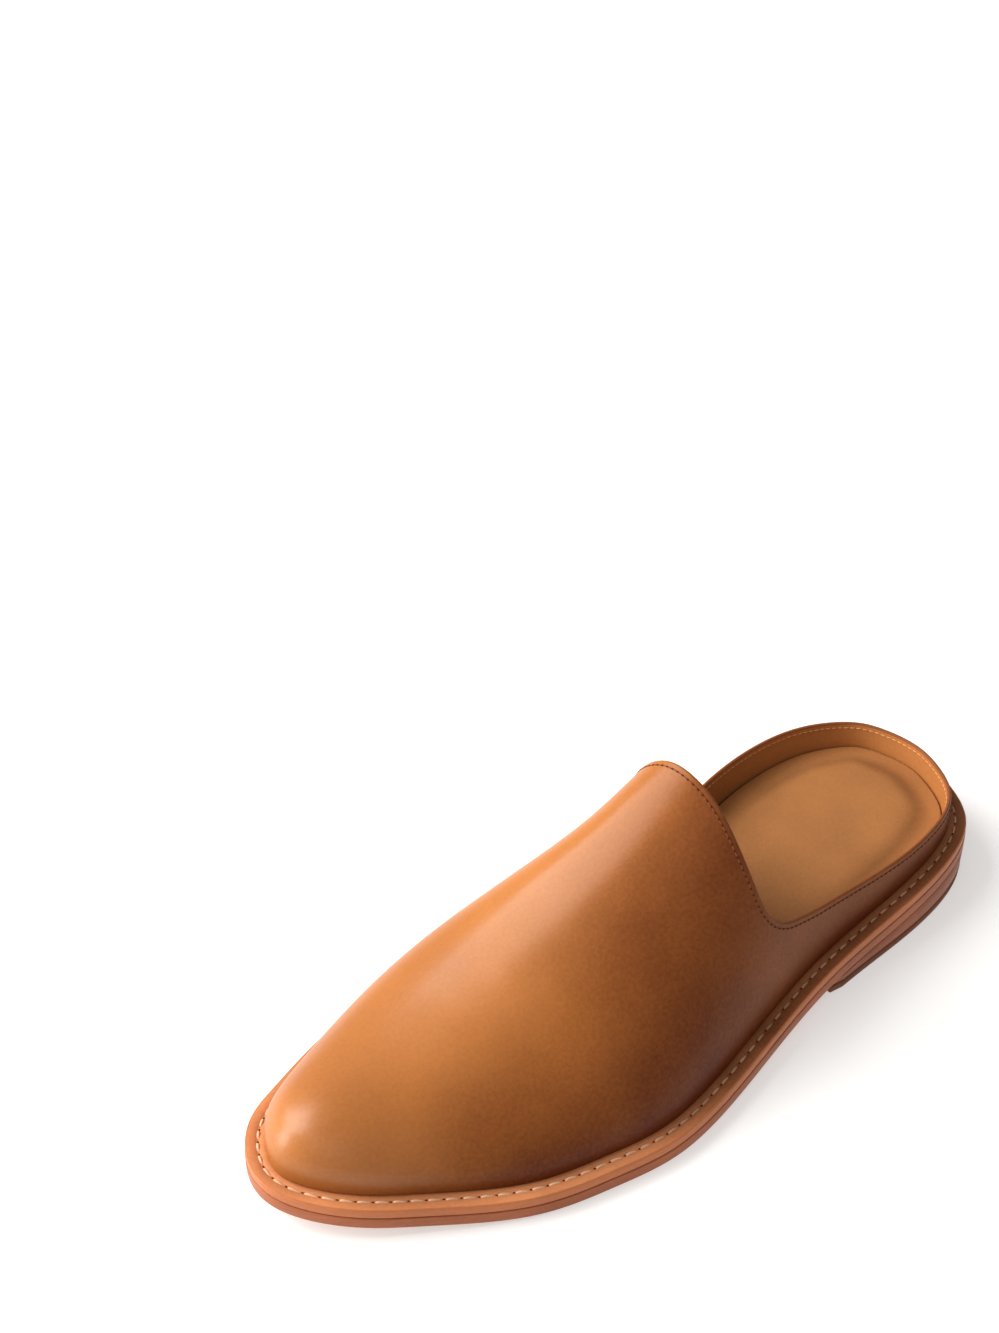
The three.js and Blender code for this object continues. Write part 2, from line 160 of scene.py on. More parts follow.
# %% Heights of the layers
def sole_bottom(x):
    toe = np.maximum((x / LENGTH - FLAT[1]) / (1 - FLAT[1]), 0)
    return HEEL_HEIGHT * smooth(FLAT[0], HEEL_SEAT_END, x / LENGTH) + TOE_SPRING * toe * toe


def sole_top(x):
    return sole_bottom(x) + OUTSOLE


def welt_bottom(x):
    return sole_top(x) + GAP


def welt_top(x):
    return welt_bottom(x) + WELT


def foot(x):
    """Height of the foot of the upper."""
    return welt_top(x) + GAP


print("foot of the upper:", [round(float(foot(x)), 1) for x in (0, LENGTH)], "mm at heel and toe")

# %% [markdown]
# ## The outline
#
# The rows of the outline are joined by one closed curve with even curvature, found from a small set of
# equations. An inset version of it serves the upper, the insole and the rounded edges.

# %% Outline curve
marks = np.array([(s * LENGTH, a * mix(HEEL_WIDTH, BALL_WIDTH, smooth(*WIDTH_CHANGE, s)) / 2)
                  for s, a in OUTLINE])
count = len(marks)
ring = np.eye(count)
links = 4 * ring + np.roll(ring, 1, 0) + np.roll(ring, -1, 0)
mark_slopes = np.linalg.solve(links, 3 * (np.roll(marks, -1, 0) - np.roll(marks, 1, 0)))


def outline(t, inset=0.0):
    """Points of the outline at t rows from the heel's back, drawn in by inset, and the way out there."""
    t = np.asarray(t, float)
    i = np.floor(t).astype(int)
    u = (t - i)[..., None]
    a, b = marks[i % count], marks[(i + 1) % count]
    sa, sb = mark_slopes[i % count], mark_slopes[(i + 1) % count]
    way = 6 * u * (1 - u) * (b - a) + sa * (1 - u) * (1 - 3 * u) + sb * u * (3 * u - 2)
    way /= np.linalg.norm(way, axis=-1, keepdims=True)
    outward = np.stack([-way[..., 1], way[..., 0]], -1)
    return hermite(a, b, sa, sb, u) - np.asarray(inset)[..., None] * outward, outward


SEARCH_POINTS, WAY_POINTS = 20001, 4001
search = np.linspace(-1, count - 1, SEARCH_POINTS)
heel_end = search[np.argmin(outline(search)[0][:, 0])]
toe_end = search[np.argmax(outline(search)[0][:, 0])]
WAYS = {"outer": np.linspace(heel_end, toe_end, WAY_POINTS),
        "inner": np.linspace(heel_end + count, toe_end, WAY_POINTS)}
edge_points = outline(search)[0]
MIDDLE = np.append((edge_points.min(0) + edge_points.max(0)) / 2, 0)


def row_at(side, x, inset):
    """The place along the outline where one side of it lies x from the heel's back."""
    return np.interp(x, outline(WAYS[side], inset)[0][:, 0], WAYS[side])


def end_at(facing, inset):
    return outline(heel_end if facing < 0 else toe_end, inset)[0][0]


print("outline:", round(float(end_at(1, 0.0) - end_at(-1, 0.0)), 1), "mm long")

# %% [markdown]
# ## The upper's surface
#
# The leather is pulled wet over the last and takes its form: each section rises from the welt as a slack
# ellipse, rounder on the outer side, and meets the other side at the crest. The crest runs down from the
# instep to the toe and drifts to the inner side, where the big toe is.

# %% Surface of the last
SIDE_CHANGE, TOE_CHANGE = (-0.6, 0.6), (0.2, 0.95)  # facing over which one roundness becomes another
CORNER_STEPS = 60


def slowed(x, start, limit, end):
    """A place along the foot that slows down from start on, and is end at the limit."""
    t = (x - start) / (limit - start)
    return np.where(t <= 0, x, hermite(start, end, limit - start, 0, np.clip(t, 0, 1)))


def crest_at(x):
    """The point of the crest above x; toe and heel cap end before the outline does."""
    along = slowed(x, TOE_CAP[0] * LENGTH, end_at(1, WELT_SHOW), TOE_CAP[1] * LENGTH)
    along = slowed(along, HEEL_CAP[0] * LENGTH, end_at(-1, WELT_SHOW), HEEL_CAP[1] * LENGTH)
    height = INSTEP * read(CREST, "along", "height", along / LENGTH)
    return np.stack([along, BALL_WIDTH / 2 * read(CREST, "along", "aside", along / LENGTH),
                     foot(along) + height], -1)


def roundness(outward):
    sides = mix(ROUNDNESS["inner"], ROUNDNESS["outer"], smooth(*SIDE_CHANGE, outward[..., 1]))
    return mix(sides, ROUNDNESS["toe"], smooth(*TOE_CHANGE, outward[..., 0]))


def upper_at(side, x, turn):
    """Points of the upper, from turn 0 at the welt to turn 1 at the crest."""
    base, outward = outline(row_at(side, x, WELT_SHOW), WELT_SHOW)
    crest = crest_at(x)
    power = mix(2 / roundness(outward), 1, smooth(CREST_EASE, 1, turn))
    rise, run = np.sin(turn * math.pi / 2), np.maximum(np.cos(turn * math.pi / 2), 0)
    inward = 1 - run ** power
    bulge = SIDE_BULGE * math.sqrt(27 / 4) * rise * run * run  # the root brings the curve's peak to 1
    return np.stack([mix(base[..., 0], crest[..., 0], inward) + outward[..., 0] * bulge,
                     mix(base[..., 1], crest[..., 1], inward) + outward[..., 1] * bulge,
                     mix(foot(base[..., 0]), crest[..., 2], rise ** power)], -1)


def turn_at(side, x, height):
    """The turn at which a section reaches a height above the foot of the upper."""
    base, outward = outline(row_at(side, x, WELT_SHOW), WELT_SHOW)
    share = np.clip(height / (crest_at(x)[..., 2] - foot(base[..., 0])), 0, 1)
    return np.arcsin(share ** (roundness(outward) / 2)) / (math.pi / 2)


def lean(side, turn):
    """How far the vamp's edge leans back from the throat."""
    return LENGTH * read(THROAT_LEAN, "turn", side, turn)


def corner_of(side):
    """Where the topline turns up into the vamp's edge: its place along the foot, and its turn."""
    turn = np.array(MIDDLE_TURN)
    for _ in range(CORNER_STEPS):
        turn = turn_at(side, THROAT - lean(side, turn), CORNER_HEIGHT[side])
    return THROAT - lean(side, turn), turn


print("top of the vamp:", round(float(crest_at(THROAT)[2]), 1), "mm over the floor")

# %% [markdown]
# ## Cutting the upper
#
# One sheet covers the wall round the heel and the vamp. Its columns start at the topline and at the vamp's
# edge, so both come out as clean cut lines. A few rounds of smoothing take out the slight ridge where the
# two sides meet, as lasting and ironing would.

# %% Sheet of the upper
WALL_COLUMNS, WALL_ROWS, VAMP_COLUMNS, VAMP_ROWS = 72, 12, 110, 36
LEAN_FADE, WALL_FADE = 60, 50
MERGED, SLIVER = 0.02, 0.005  # points and edges shorter than this are joined
ROUNDS = 8
TOE_FROM, IRON, IRON_RISE = (205, 235), 4.0, 13


def wall_grid(side):
    """The low wall from the heel's back to the corner, crowded at both ends."""
    corner, corner_turn = corner_of(side)
    share = (1 - np.cos(np.pi * np.arange(WALL_COLUMNS + 1) / WALL_COLUMNS)) / 2
    place = mix(end_at(-1, WELT_SHOW), corner, share)
    top = turn_at(side, place, WALL_HEIGHT * read(TOPLINE, "along", side, share))
    top[-1] = corner_turn
    turn = top[:, None] * (np.arange(WALL_ROWS + 1) / WALL_ROWS)[None]
    lag = THROAT - lean(side, turn) - corner
    return upper_at(side, place[:, None] + lag * smooth(corner - WALL_FADE, corner, place)[:, None], turn)


def vamp_grid(side):
    """The vamp from its leaning edge to the tip of the toe."""
    tip = end_at(1, WELT_SHOW)
    place = mix(THROAT, tip, np.sin(np.pi / 2 * np.arange(VAMP_COLUMNS + 1) / VAMP_COLUMNS))[:, None]
    split = mix(corner_of(side)[1], MIDDLE_TURN, smooth(THROAT, tip, place))
    rows = np.arange(WALL_ROWS + VAMP_ROWS + 1)[None]
    turn = np.where(rows < WALL_ROWS, split * rows / WALL_ROWS,
                    mix(split, 1, (rows - WALL_ROWS) / VAMP_ROWS))
    return upper_at(side, place - lean(side, turn) * (1 - smooth(THROAT, THROAT + LEAN_FADE, place)), turn)


def add_grid(bm, points, flip, material=0):
    """Adds a grid of points to a mesh as quads; returns its vertices by column and row."""
    made = [[bm.verts.new((p - MIDDLE) * MM) for p in column] for column in points]
    for left, right in zip(made, made[1:]):
        for k in range(len(left) - 1):
            loop = [left[k], right[k], right[k + 1], left[k + 1]]
            face = bm.faces.new(loop[::-1] if flip else loop)
            face.material_index = material
    return made


sheet = bmesh.new()
for side in ("outer", "inner"):
    add_grid(sheet, wall_grid(side), side == "outer")
    add_grid(sheet, vamp_grid(side), side == "outer")
bmesh.ops.remove_doubles(sheet, verts=sheet.verts, dist=MERGED * MM)
bmesh.ops.dissolve_degenerate(sheet, edges=sheet.edges, dist=SLIVER * MM)
inside = [v for v in sheet.verts if not v.is_boundary]
for _ in range(ROUNDS):
    bmesh.ops.smooth_vert(sheet, verts=inside, factor=0.5, use_axis_x=True, use_axis_y=True,
                          use_axis_z=True)

# The toe is ironed over a wider reach, each point drawn to the mean of the leather round it
toe = [v for v in sheet.verts if v.co.x / MM + MIDDLE[0] > TOE_FROM[0]]
spots = np.array([v.co for v in toe]) / MM
areas = np.array([sum(f.calc_area() for f in v.link_faces) for v in toe])
apart = ((spots[:, None] - spots[None]) ** 2).sum(-1)
share = np.exp(-0.5 * apart / IRON ** 2) * areas[None]
means = share @ spots / share.sum(1, keepdims=True)
over = spots[:, 2] - foot(spots[:, 0] + MIDDLE[0])
held = smooth(*TOE_FROM, spots[:, 0] + MIDDLE[0]) * smooth(0, IRON_RISE, over)
for v, spot, mean, weight in zip(toe, spots, means, held):
    v.co = Vector(mix(spot, mean, weight)) * MM
sheet.normal_update()
print("sheet:", len(sheet.verts), "points,", len(sheet.faces), "faces")

# %% [markdown]
# ## Soft forms
#
# Leather pulled over a last keeps some of its tension: a firm ridge runs down the instep, and shallow troughs
# lie where the ball bends. Each one is listed from one point of the vamp to another, and moves the sheet a
# little along its normal.

# %% Ridge and troughs of the vamp
SOFT_FORMS = [
    {"from": (112, 5), "to": (190, -3), "width": 6.0, "rise": (1.0, 0.25)},
    {"from": (196, 26), "to": (211, -14), "width": 5.0, "rise": (-0.25, -0.1)},
    {"from": (207, 24), "to": (223, -10), "width": 5.5, "rise": (0.2, 0.1)},
    {"from": (222, 18), "to": (234, -12), "width": 5.0, "rise": (-0.15, -0.05)},
]
FORMS_FADE = (12, 30)  # heights above the foot of the upper over which the forms set in
flat = np.array([v.co for v in sheet.verts])[:, :2] / MM + MIDDLE[:2]
on_vamp = smooth(*FORMS_FADE, np.array([v.co.z for v in sheet.verts]) / MM - foot(flat[:, 0]))
rises = np.zeros(len(flat))
for form in SOFT_FORMS:
    start, way = np.array(form["from"]), np.subtract(form["to"], form["from"])
    share = np.clip((flat - start) @ way / (way @ way), 0, 1)
    away = np.linalg.norm(flat - start - share[:, None] * way, axis=1)
    rises += mix(*form["rise"], share) * np.exp(-(away / form["width"]) ** 2) * on_vamp
for v, rise in zip(list(sheet.verts), rises):
    v.co += v.normal * (rise * MM)
sheet.normal_update()
print("soft forms:", len(SOFT_FORMS), "highest", round(float(rises.max()), 2), "mm")

# %% [markdown]
# ## Thickness, lining and rolled edge
#
# A lined upper is two leathers glued back to back. At the collar the outer leather is skived thin and turned
# over, which gives a soft round rim instead of a cut edge. The sheet gets its thickness inward, and a round
# rim joins both faces along each open edge.

# %% Closed upper with its rim
OUTSIDE, LINING, RIM = 0, 1, 2
RIM_STEPS, RIM_OUTSIDE = 8, 3  # steps round the rim, and how many of them show the outer leather
FOOT_REACH = 1
CORNER_EASE, FOLLOW = 4.0, 14.0
SKIVED, SKIVED_OVER = 0.6, 8  # share of the thickness left at the collar, and how far down it is thinned
SHARP_ANGLE = math.radians(50)


def open_loops(bm):
    """The open edges of a sheet as closed chains of vertices, each in the direction of its faces."""
    after = {}
    for edge in bm.edges:
        if edge.is_boundary:
            loop = edge.link_loops[0]
            after[loop.vert] = loop.link_loop_next.vert
    chains = []
    while after:
        start = next(iter(after))
        chain, here = [], start
        while here in after:
            chain.append(here)
            here = after.pop(here)
        chains.append(chain)
    return chains


def beyond(chain, i):
    """The way over an open edge, square to it and lying in the sheet."""
    way = chain[(i + 1) % len(chain)].co - chain[i - 1].co
    return way.cross(chain[i].normal).normalized()


def low_on_shoe(vert):
    return vert.co.z / MM - float(foot(vert.co.x / MM + MIDDLE[0])) < FOOT_REACH


chains = open_loops(sheet)
collar_chain = next(c for c in chains if not low_on_shoe(c[0]))

# The cut line is eased round its corners, and the leather beside it follows
line = np.array([v.co for v in collar_chain]) / MM
spans = np.linalg.norm(np.roll(line, -1, 0) - line, axis=1)
reach = np.cumsum(spans) - spans
apart = np.abs(reach[:, None] - reach[None])
apart = np.minimum(apart, spans.sum() - apart)
share = np.exp(-0.5 * (apart / CORNER_EASE) ** 2) * ((spans + np.roll(spans, 1)) / 2)[None]
moves = share @ line / share.sum(1, keepdims=True) - line
near = KDTree(len(line))
for i, v in enumerate(collar_chain):
    near.insert(v.co, i)
near.balance()
to_collar = {}
for v in sheet.verts:
    _, i, distance = near.find(v.co)
    to_collar[v] = distance / MM
    v.co += Vector(moves[i]) * MM * (1 - float(smooth(0, FOLLOW, distance / MM)))
sheet.normal_update()
collar = [(v.co.copy(), v.normal.copy(), beyond(collar_chain, i)) for i, v in enumerate(collar_chain)]
outside_tree = BVHTree.FromBMesh(sheet)

outer_faces, outer_verts = list(sheet.faces), list(sheet.verts)
normals = {v: v.normal.copy() for v in outer_verts}
rims = [[(v, beyond(chain, i)) for i, v in enumerate(chain)] for chain in chains]
for v in outer_verts:
    if v.is_boundary and low_on_shoe(v):
        normals[v] = Vector((v.normal.x, v.normal.y, 0)).normalized()
thick = {v: WALL * MM * mix(SKIVED, 1, float(smooth(0, SKIVED_OVER, to_collar[v]))) for v in outer_verts}
lining = {v: sheet.verts.new(v.co - normals[v] * thick[v]) for v in outer_verts}
for face in outer_faces:
    made = sheet.faces.new([lining[v] for v in reversed(face.verts)])
    made.material_index = LINING
for rim in rims:
    low = low_on_shoe(rim[0][0])
    rows = []
    for v, way in rim:
        middle = v.co - normals[v] * thick[v] / 2
        reach = thick[v] / 2 * (0 if low else 1)
        row = [v]
        for k in range(1, RIM_STEPS):
            angle = math.pi * k / RIM_STEPS
            row.append(sheet.verts.new(middle + normals[v] * thick[v] / 2 * math.cos(angle)
                                       + way * reach * math.sin(angle)))
        rows.append([*row, lining[v]])
    for here, there in zip(rows, rows[1:] + rows[:1]):
        for k in range(RIM_STEPS):
            made = sheet.faces.new([there[k], here[k], here[k + 1], there[k + 1]])
            made.material_index = OUTSIDE if k < RIM_OUTSIDE else RIM
inside_tree = BVHTree.FromBMesh(sheet)


def placed(name, data):
    """A new object in the scene."""
    made = bpy.data.objects.new(name, data)
    bpy.context.collection.objects.link(made)
    return made


def finish_mesh(bm, name, node_name, materials):
    """Turns a mesh into a finished object that stands for a CAD node."""
    bmesh.ops.recalc_face_normals(bm, faces=bm.faces)
    mesh = bpy.data.meshes.new(name)
    bm.to_mesh(mesh)
    bm.free()
    mesh.set_sharp_from_angle(angle=SHARP_ANGLE)
    piece = placed(name, mesh)
    for material in materials:
        mesh.materials.append(material)
    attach(piece, "root")
    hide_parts(node_name)
    return piece


def places_of(piece):
    """The points of a piece in the shoe's own sizes."""
    where = np.empty(len(piece.data.vertices) * 3)
    piece.data.vertices.foreach_get("co", where)
    return where.reshape(-1, 3) / MM + MIDDLE


def set_shade(piece, values):
    """Marks how much painted shade darkens each point."""
    mark = piece.data.attributes.new("shade", "FLOAT", "POINT")
    mark.data.foreach_set("value", values.astype("float32"))


print("upper:", len(sheet.verts), "points, collar of", len(collar), "points")

# %% [markdown]
# ## Shader helpers
#
# Every leather here is one idea in another colour: a dye that soaked in unevenly, a fine grain, and polish.
# Two node groups hold these effects as colours, values and heights, and each material feeds them into its own
# shader.

# %% Node groups
def group(name, inputs, outputs):
    tree = bpy.data.node_groups.new(name, "ShaderNodeTree")
    for title, kind, value in inputs:
        socket = tree.interface.new_socket(name=title, in_out="INPUT", socket_type=kind)
        socket.default_value = value
    for title, kind in outputs:
        tree.interface.new_socket(name=title, in_out="OUTPUT", socket_type=kind)
    return tree, tree.nodes.new("NodeGroupInput"), tree.nodes.new("NodeGroupOutput")


def feed(tree, made, feeds):
    """Gives inputs of a node their values, or links them."""
    for title, value in feeds.items():
        if isinstance(value, bpy.types.NodeSocket):
            tree.links.new(value, made.inputs[title])
        else:
            made.inputs[title].default_value = value
    return made


def node(tree, kind, feeds=None, **settings):
    made = tree.nodes.new(kind)
    for key, value in settings.items():
        setattr(made, key, value)
    return feed(tree, made, feeds or {})


def maths(tree, operation, a, b, clamp=False):
    return node(tree, "ShaderNodeMath", {0: a, 1: b}, operation=operation, use_clamp=clamp).outputs[0]


def noise(tree, vector, scale, detail=4.0, rough=0.55):
    return node(tree, "ShaderNodeTexNoise",
                {"Vector": vector, "Scale": scale, "Detail": detail, "Roughness": rough}).outputs["Fac"]


def blend_colours(tree, factor, a, b, kind="MIX"):
    return node(tree, "ShaderNodeMix", {0: factor, 6: a, 7: b}, data_type="RGBA", blend_type=kind).outputs[2]


# Fine grain: tiny cells of the hair side over soft pores, as a height and as a mask of its hollows
grain, g_in, g_out = group("leather_grain", [("Cells per metre", "NodeSocketFloat", 1400.0)],
                           [("Height", "NodeSocketFloat"), ("Hollows", "NodeSocketFloat")])
place = node(grain, "ShaderNodeTexCoord").outputs["Object"]
cells = node(grain, "ShaderNodeTexVoronoi", {"Vector": place, "Scale": g_in.outputs[0], "Smoothness": 0.6},
             feature="SMOOTH_F1").outputs["Distance"]
pores = noise(grain, place, 2600.0, 2.0)
soft = noise(grain, place, 260.0, 3.0)
height = maths(grain, "ADD", maths(grain, "MULTIPLY", cells, 0.55), maths(grain, "MULTIPLY", pores, 0.25))
feed(grain, g_out, {"Height": maths(grain, "ADD", height, maths(grain, "MULTIPLY", soft, 0.5)),
                    "Hollows": maths(grain, "MULTIPLY", cells, pores, True)})

# Dye: clouds of light and dark, so that no surface has one flat colour
dye, d_in, d_out = group("leather_dye", [("Light", "NodeSocketColor", (0.6, 0.3, 0.1, 1)),
                                         ("Dark", "NodeSocketColor", (0.2, 0.1, 0.05, 1)),
                                         ("Clouds per metre", "NodeSocketFloat", 14.0),
                                         ("Darken", "NodeSocketFloat", 0.0)],
                         [("Color", "NodeSocketColor"), ("Clouds", "NodeSocketFloat")])
place = node(dye, "ShaderNodeTexCoord").outputs["Object"]
clouds = noise(dye, place, d_in.outputs["Clouds per metre"], 5.0, 0.5)
specks = noise(dye, place, 900.0, 2.0)
wide = maths(dye, "MULTIPLY", maths(dye, "SUBTRACT", clouds, 0.5), 0.95)
narrow = maths(dye, "MULTIPLY", maths(dye, "SUBTRACT", specks, 0.5), 0.28)
share = maths(dye, "ADD", maths(dye, "ADD", wide, narrow), 0.15)
# Darken adds painted shade from a material's attribute on top of the clouds
share = maths(dye, "ADD", share, d_in.outputs["Darken"], True)
dyes = blend_colours(dye, share, d_in.outputs["Light"], d_in.outputs["Dark"])
feed(dye, d_out, {"Color": dyes, "Clouds": share})
print("node groups:", grain.name, len(grain.nodes), dye.name, len(dye.nodes))

# %% [markdown]
# ## Leathers
#
# The upper is smooth calf with a soft polish, darker and less polished where a vertex attribute of painted
# shade marks it. The cut edges of welt, sole and heel are sanded, stained and burnished: they show fine
# layers along the edge. Noise in the shader stays sharp from near and far, as a painted picture would not.

# %% Materials
def colour(red, green, blue):
    """A colour as seen on a screen, 0 to 255, in linear light."""
    shares = [v / 255 for v in (red, green, blue)]
    return (*[v / 12.92 if v <= 0.04045 else ((v + 0.055) / 1.055) ** 2.4 for v in shares], 1)


COAT_FADE = 1.5  # how soon the coat gives way where the painted shade is dark
COAT_ROUGH, COAT_IOR, SPECULAR = 0.32, 1.6, 0.15
POLISHED, DULLED, ROUGH_SHIFT = -0.12, 0.12, 0.04
LAYERS_PER_GRAIN, LAYERS_SCALE, LAYER_TINT = 22, 90.0, (0.35, 0.28, 0.25, 1)
BUMP_DEPTH = 0.12


def leather(name, light, dark, rough=0.5, bump=0.25, cells=1400, clouds=14, coat=0.0, attribute=None,
            weight=0.6, layers=0.0):
    """A dyed leather. An attribute of painted shade darkens it and dulls its coat; layers mark a cut and
    sanded edge.
    """
    material = bpy.data.materials.new(name)
    material.use_nodes = True
    tree = material.node_tree
    dyed = node(tree, "ShaderNodeGroup", {"Light": colour(*light), "Dark": colour(*dark),
                                          "Clouds per metre": clouds}, node_tree=dye)
    grained = node(tree, "ShaderNodeGroup", {0: cells}, node_tree=grain)
    if attribute:
        # Painted shade: the attribute darkens the dye and takes the coat's sheen off where it is high
        mark = node(tree, "ShaderNodeAttribute", attribute_name=attribute).outputs["Fac"]
        feed(tree, dyed, {"Darken": maths(tree, "MULTIPLY", mark, weight)})
        shine = maths(tree, "SUBTRACT", 1.0, maths(tree, "MULTIPLY", mark, COAT_FADE), True)
        coat = maths(tree, "MULTIPLY", shine, coat)
    final, height = dyed.outputs["Color"], grained.outputs["Height"]
    if layers:
        place = node(tree, "ShaderNodeTexCoord").outputs["Object"]
        fibres = node(tree, "ShaderNodeMapping", {"Vector": place, "Scale": (1, 1, LAYERS_PER_GRAIN)})
        lines = noise(tree, fibres.outputs["Vector"], LAYERS_SCALE, rough=0.6)
        final = blend_colours(tree, maths(tree, "MULTIPLY", lines, layers, True), final,
                              blend_colours(tree, 1.0, final, LAYER_TINT, "MULTIPLY"))
        height = maths(tree, "ADD", height, maths(tree, "MULTIPLY", lines, 2.0))
    polish = maths(tree, "MULTIPLY", dyed.outputs["Clouds"], POLISHED)
    hollow = maths(tree, "MULTIPLY", grained.outputs["Hollows"], DULLED)
    dullness = maths(tree, "ADD", maths(tree, "ADD", polish, hollow), rough + ROUGH_SHIFT)
    bumper = node(tree, "ShaderNodeBump", {"Strength": bump, "Distance": BUMP_DEPTH * MM, "Height": height})
    feed(tree, tree.nodes["Principled BSDF"],
         {"Base Color": final, "Roughness": dullness, "Normal": bumper.outputs["Normal"], "Coat Weight": coat,
          "Coat Roughness": COAT_ROUGH, "Coat IOR": COAT_IOR, "Specular IOR Level": SPECULAR})
    return material


upper_leather = leather("upper_calf", (184, 113, 50), (90, 37, 14), 0.45, 0.3, coat=0.45,
                        attribute="shade", weight=0.75)
lining_leather = leather("lining_calf", (184, 120, 66), (100, 52, 20), 0.6, 0.3, 1100, attribute="shade")
rim_leather = leather("rim_leather", (138, 78, 42), (84, 42, 22), 0.48)
insole_leather = leather("insole_sock", (178, 118, 68), (100, 64, 38), 0.62, 0.3, 1000, 22,
                         attribute="shade", weight=0.7)
welt_leather = leather("welt_top", (210, 136, 90), (94, 48, 20), 0.5, 0.35, 900, 30, attribute="shade")
welt_edge = leather("welt_edge", (204, 124, 76), (150, 78, 44), 0.4, 0.25, 900, 30, 0.1, layers=0.5)
sole_edge = leather("sole_edge", (186, 110, 72), (120, 60, 34), 0.42, 0.3, 900, 30, 0.1, layers=0.6)
sole_base = leather("sole_base", (186, 124, 80), (130, 78, 46), 0.6, 0.35, 800, 20)
stack_leather = leather("stack_leather", (174, 100, 64), (100, 50, 30), 0.42, 0.3, 900, 30, 0.1, layers=0.6)
lift_rubber = leather("lift_rubber", (128, 80, 56), (84, 52, 38), 0.7, 0.3, 700, 40)
thread = leather("welt_thread", (226, 182, 148), (150, 104, 74), 0.7, 0.4, 2500, 60, attribute="shade")
dark_thread = leather("collar_thread", (134, 76, 42), (92, 48, 26), 0.7, 0.4, 2500, 60)
light_thread = leather("lining_thread", (214, 150, 98), (180, 116, 68), 0.7, 0.4, 2500, 60)
# A dark disc of painted shade, for the inside of an awl hole
painted_hole_shade = leather("awl_hole_shade", (84, 42, 24), (50, 26, 14), 0.9, 0.2, 2500, 60)
print("materials:", len(bpy.data.materials))

# %% [markdown]
# ## Finishing the upper
#
# Painted shade darkens the leather low down beside the welt, where the upper meets it, and on the outer side,
# which the key lamp hardly reaches; that side is also dyed a little darker than the crest and toe, and its
# coat is dulled with the shade. The lining carries a painted shadow forward, under the vamp. The attribute
# below marks how much painted shade each point carries.

# %% Upper object
WELT_DARK = 16  # height of the band of painted shade above the welt
WAIST = (215, 130)  # from the ball back to the waist the painted shade reaches further in
SIDE_DARK, SIDE_SHIFT = (-12, 42), 20
TOE_PALE = (225, 265)
LINING_DARK = (0, 100)
upper = finish_mesh(sheet, "mule_upper", "upper",
                    [upper_leather, lining_leather, rim_leather])
where = places_of(upper)
# Painted shade low beside the welt, in the crease where the upper meets it
near_welt = 1 - smooth(0, WELT_DARK, where[:, 2] - foot(where[:, 0]))
# Painted shade on the outer side, which is also dyed a little darker; it reaches further in behind the ball
# and fades out round the toe
shift = SIDE_SHIFT * smooth(*WAIST, where[:, 0])
outer_side = smooth(SIDE_DARK[0] - shift, SIDE_DARK[1] - shift, where[:, 1])
outer_side *= 1 - smooth(*TOE_PALE, where[:, 0])
inside = np.zeros(len(where), bool)
for face in upper.data.polygons:
    if face.material_index == LINING:
        inside[list(face.vertices)] = True
# The lining carries a painted shadow forward under the vamp
set_shade(upper, np.where(inside, 0.95 * smooth(*LINING_DARK, where[:, 0]),
                          0.25 * near_welt ** 2 + 0.85 * outer_side))
print("upper faces:", len(upper.data.polygons))

# %% [markdown]
# ## Layers of the sole
#
# Welt, outsole and heel are built as layers: an outline, a profile of its edge, and flat faces closed across
# from side to side. The edge of each layer is sanded round by hand, more at the welt, less at the heel.

# %% Layers from an outline and a profile
def sides_ring(stations):
    """Rows of the outline at the same places on both sides: out along the outer side, home by the inner."""
    xs = mix(end_at(-1, 0.0), end_at(1, 0.0), (1 - np.cos(np.pi * np.arange(stations + 1) / stations)) / 2)
    outer = row_at("outer", xs, 0.0)
    inner = row_at("inner", xs, 0.0)
    return np.concatenate([outer, inner[-2:0:-1]])


def layer(rows, profile, columns=0, covers=True, relief=None):
    """A closed layer. The profile lists insets, height functions and materials, from the top inwards down."""
    bm = bmesh.new()
    rings = []
    for inset, height, _ in profile:
        p, _ = outline(rows, inset)
        points = np.column_stack([p, height(p[:, 0])])
        rings.append([bm.verts.new((q - MIDDLE) * MM) for q in points])
    if not covers:
        rings.append(rings[0])
    size = len(rows)
    for (upper_ring, lower_ring), (_, _, material) in zip(zip(rings, rings[1:]), profile):
        for i in range(size):
            j = (i + 1) % size
            face = bm.faces.new([upper_ring[i], upper_ring[j], lower_ring[j], lower_ring[i]])
            face.material_index = material
    if covers:
        close_across(bm, rings[0], columns, profile[0][2], relief)
        close_across(bm, rings[-1], columns, profile[-1][2], None)
    return bm


def close_across(bm, loop, columns, material, relief):
    """Closes a ring from side to side with rows of quads, raised by a relief if there is one."""
    half = len(loop) // 2
    lines = []
    for i in range(1, half):
        a, b = loop[i], loop[-i]
        row = [a]
        for k in range(1, columns):
            share = (1 - math.cos(math.pi * k / columns)) / 2 if relief else k / columns
            at = a.co.lerp(b.co, share)
            if relief:
                at.z += relief(at)
            row.append(bm.verts.new(at))
        lines.append([*row, b])
    for here, there in zip(lines, lines[1:]):
        for k in range(columns):
            bm.faces.new([here[k], here[k + 1], there[k + 1], there[k]]).material_index = material
    for line, tip in ((lines[0], loop[0]), (lines[-1], loop[half])):
        for k in range(columns):
            bm.faces.new([line[k], line[k + 1], tip]).material_index = material


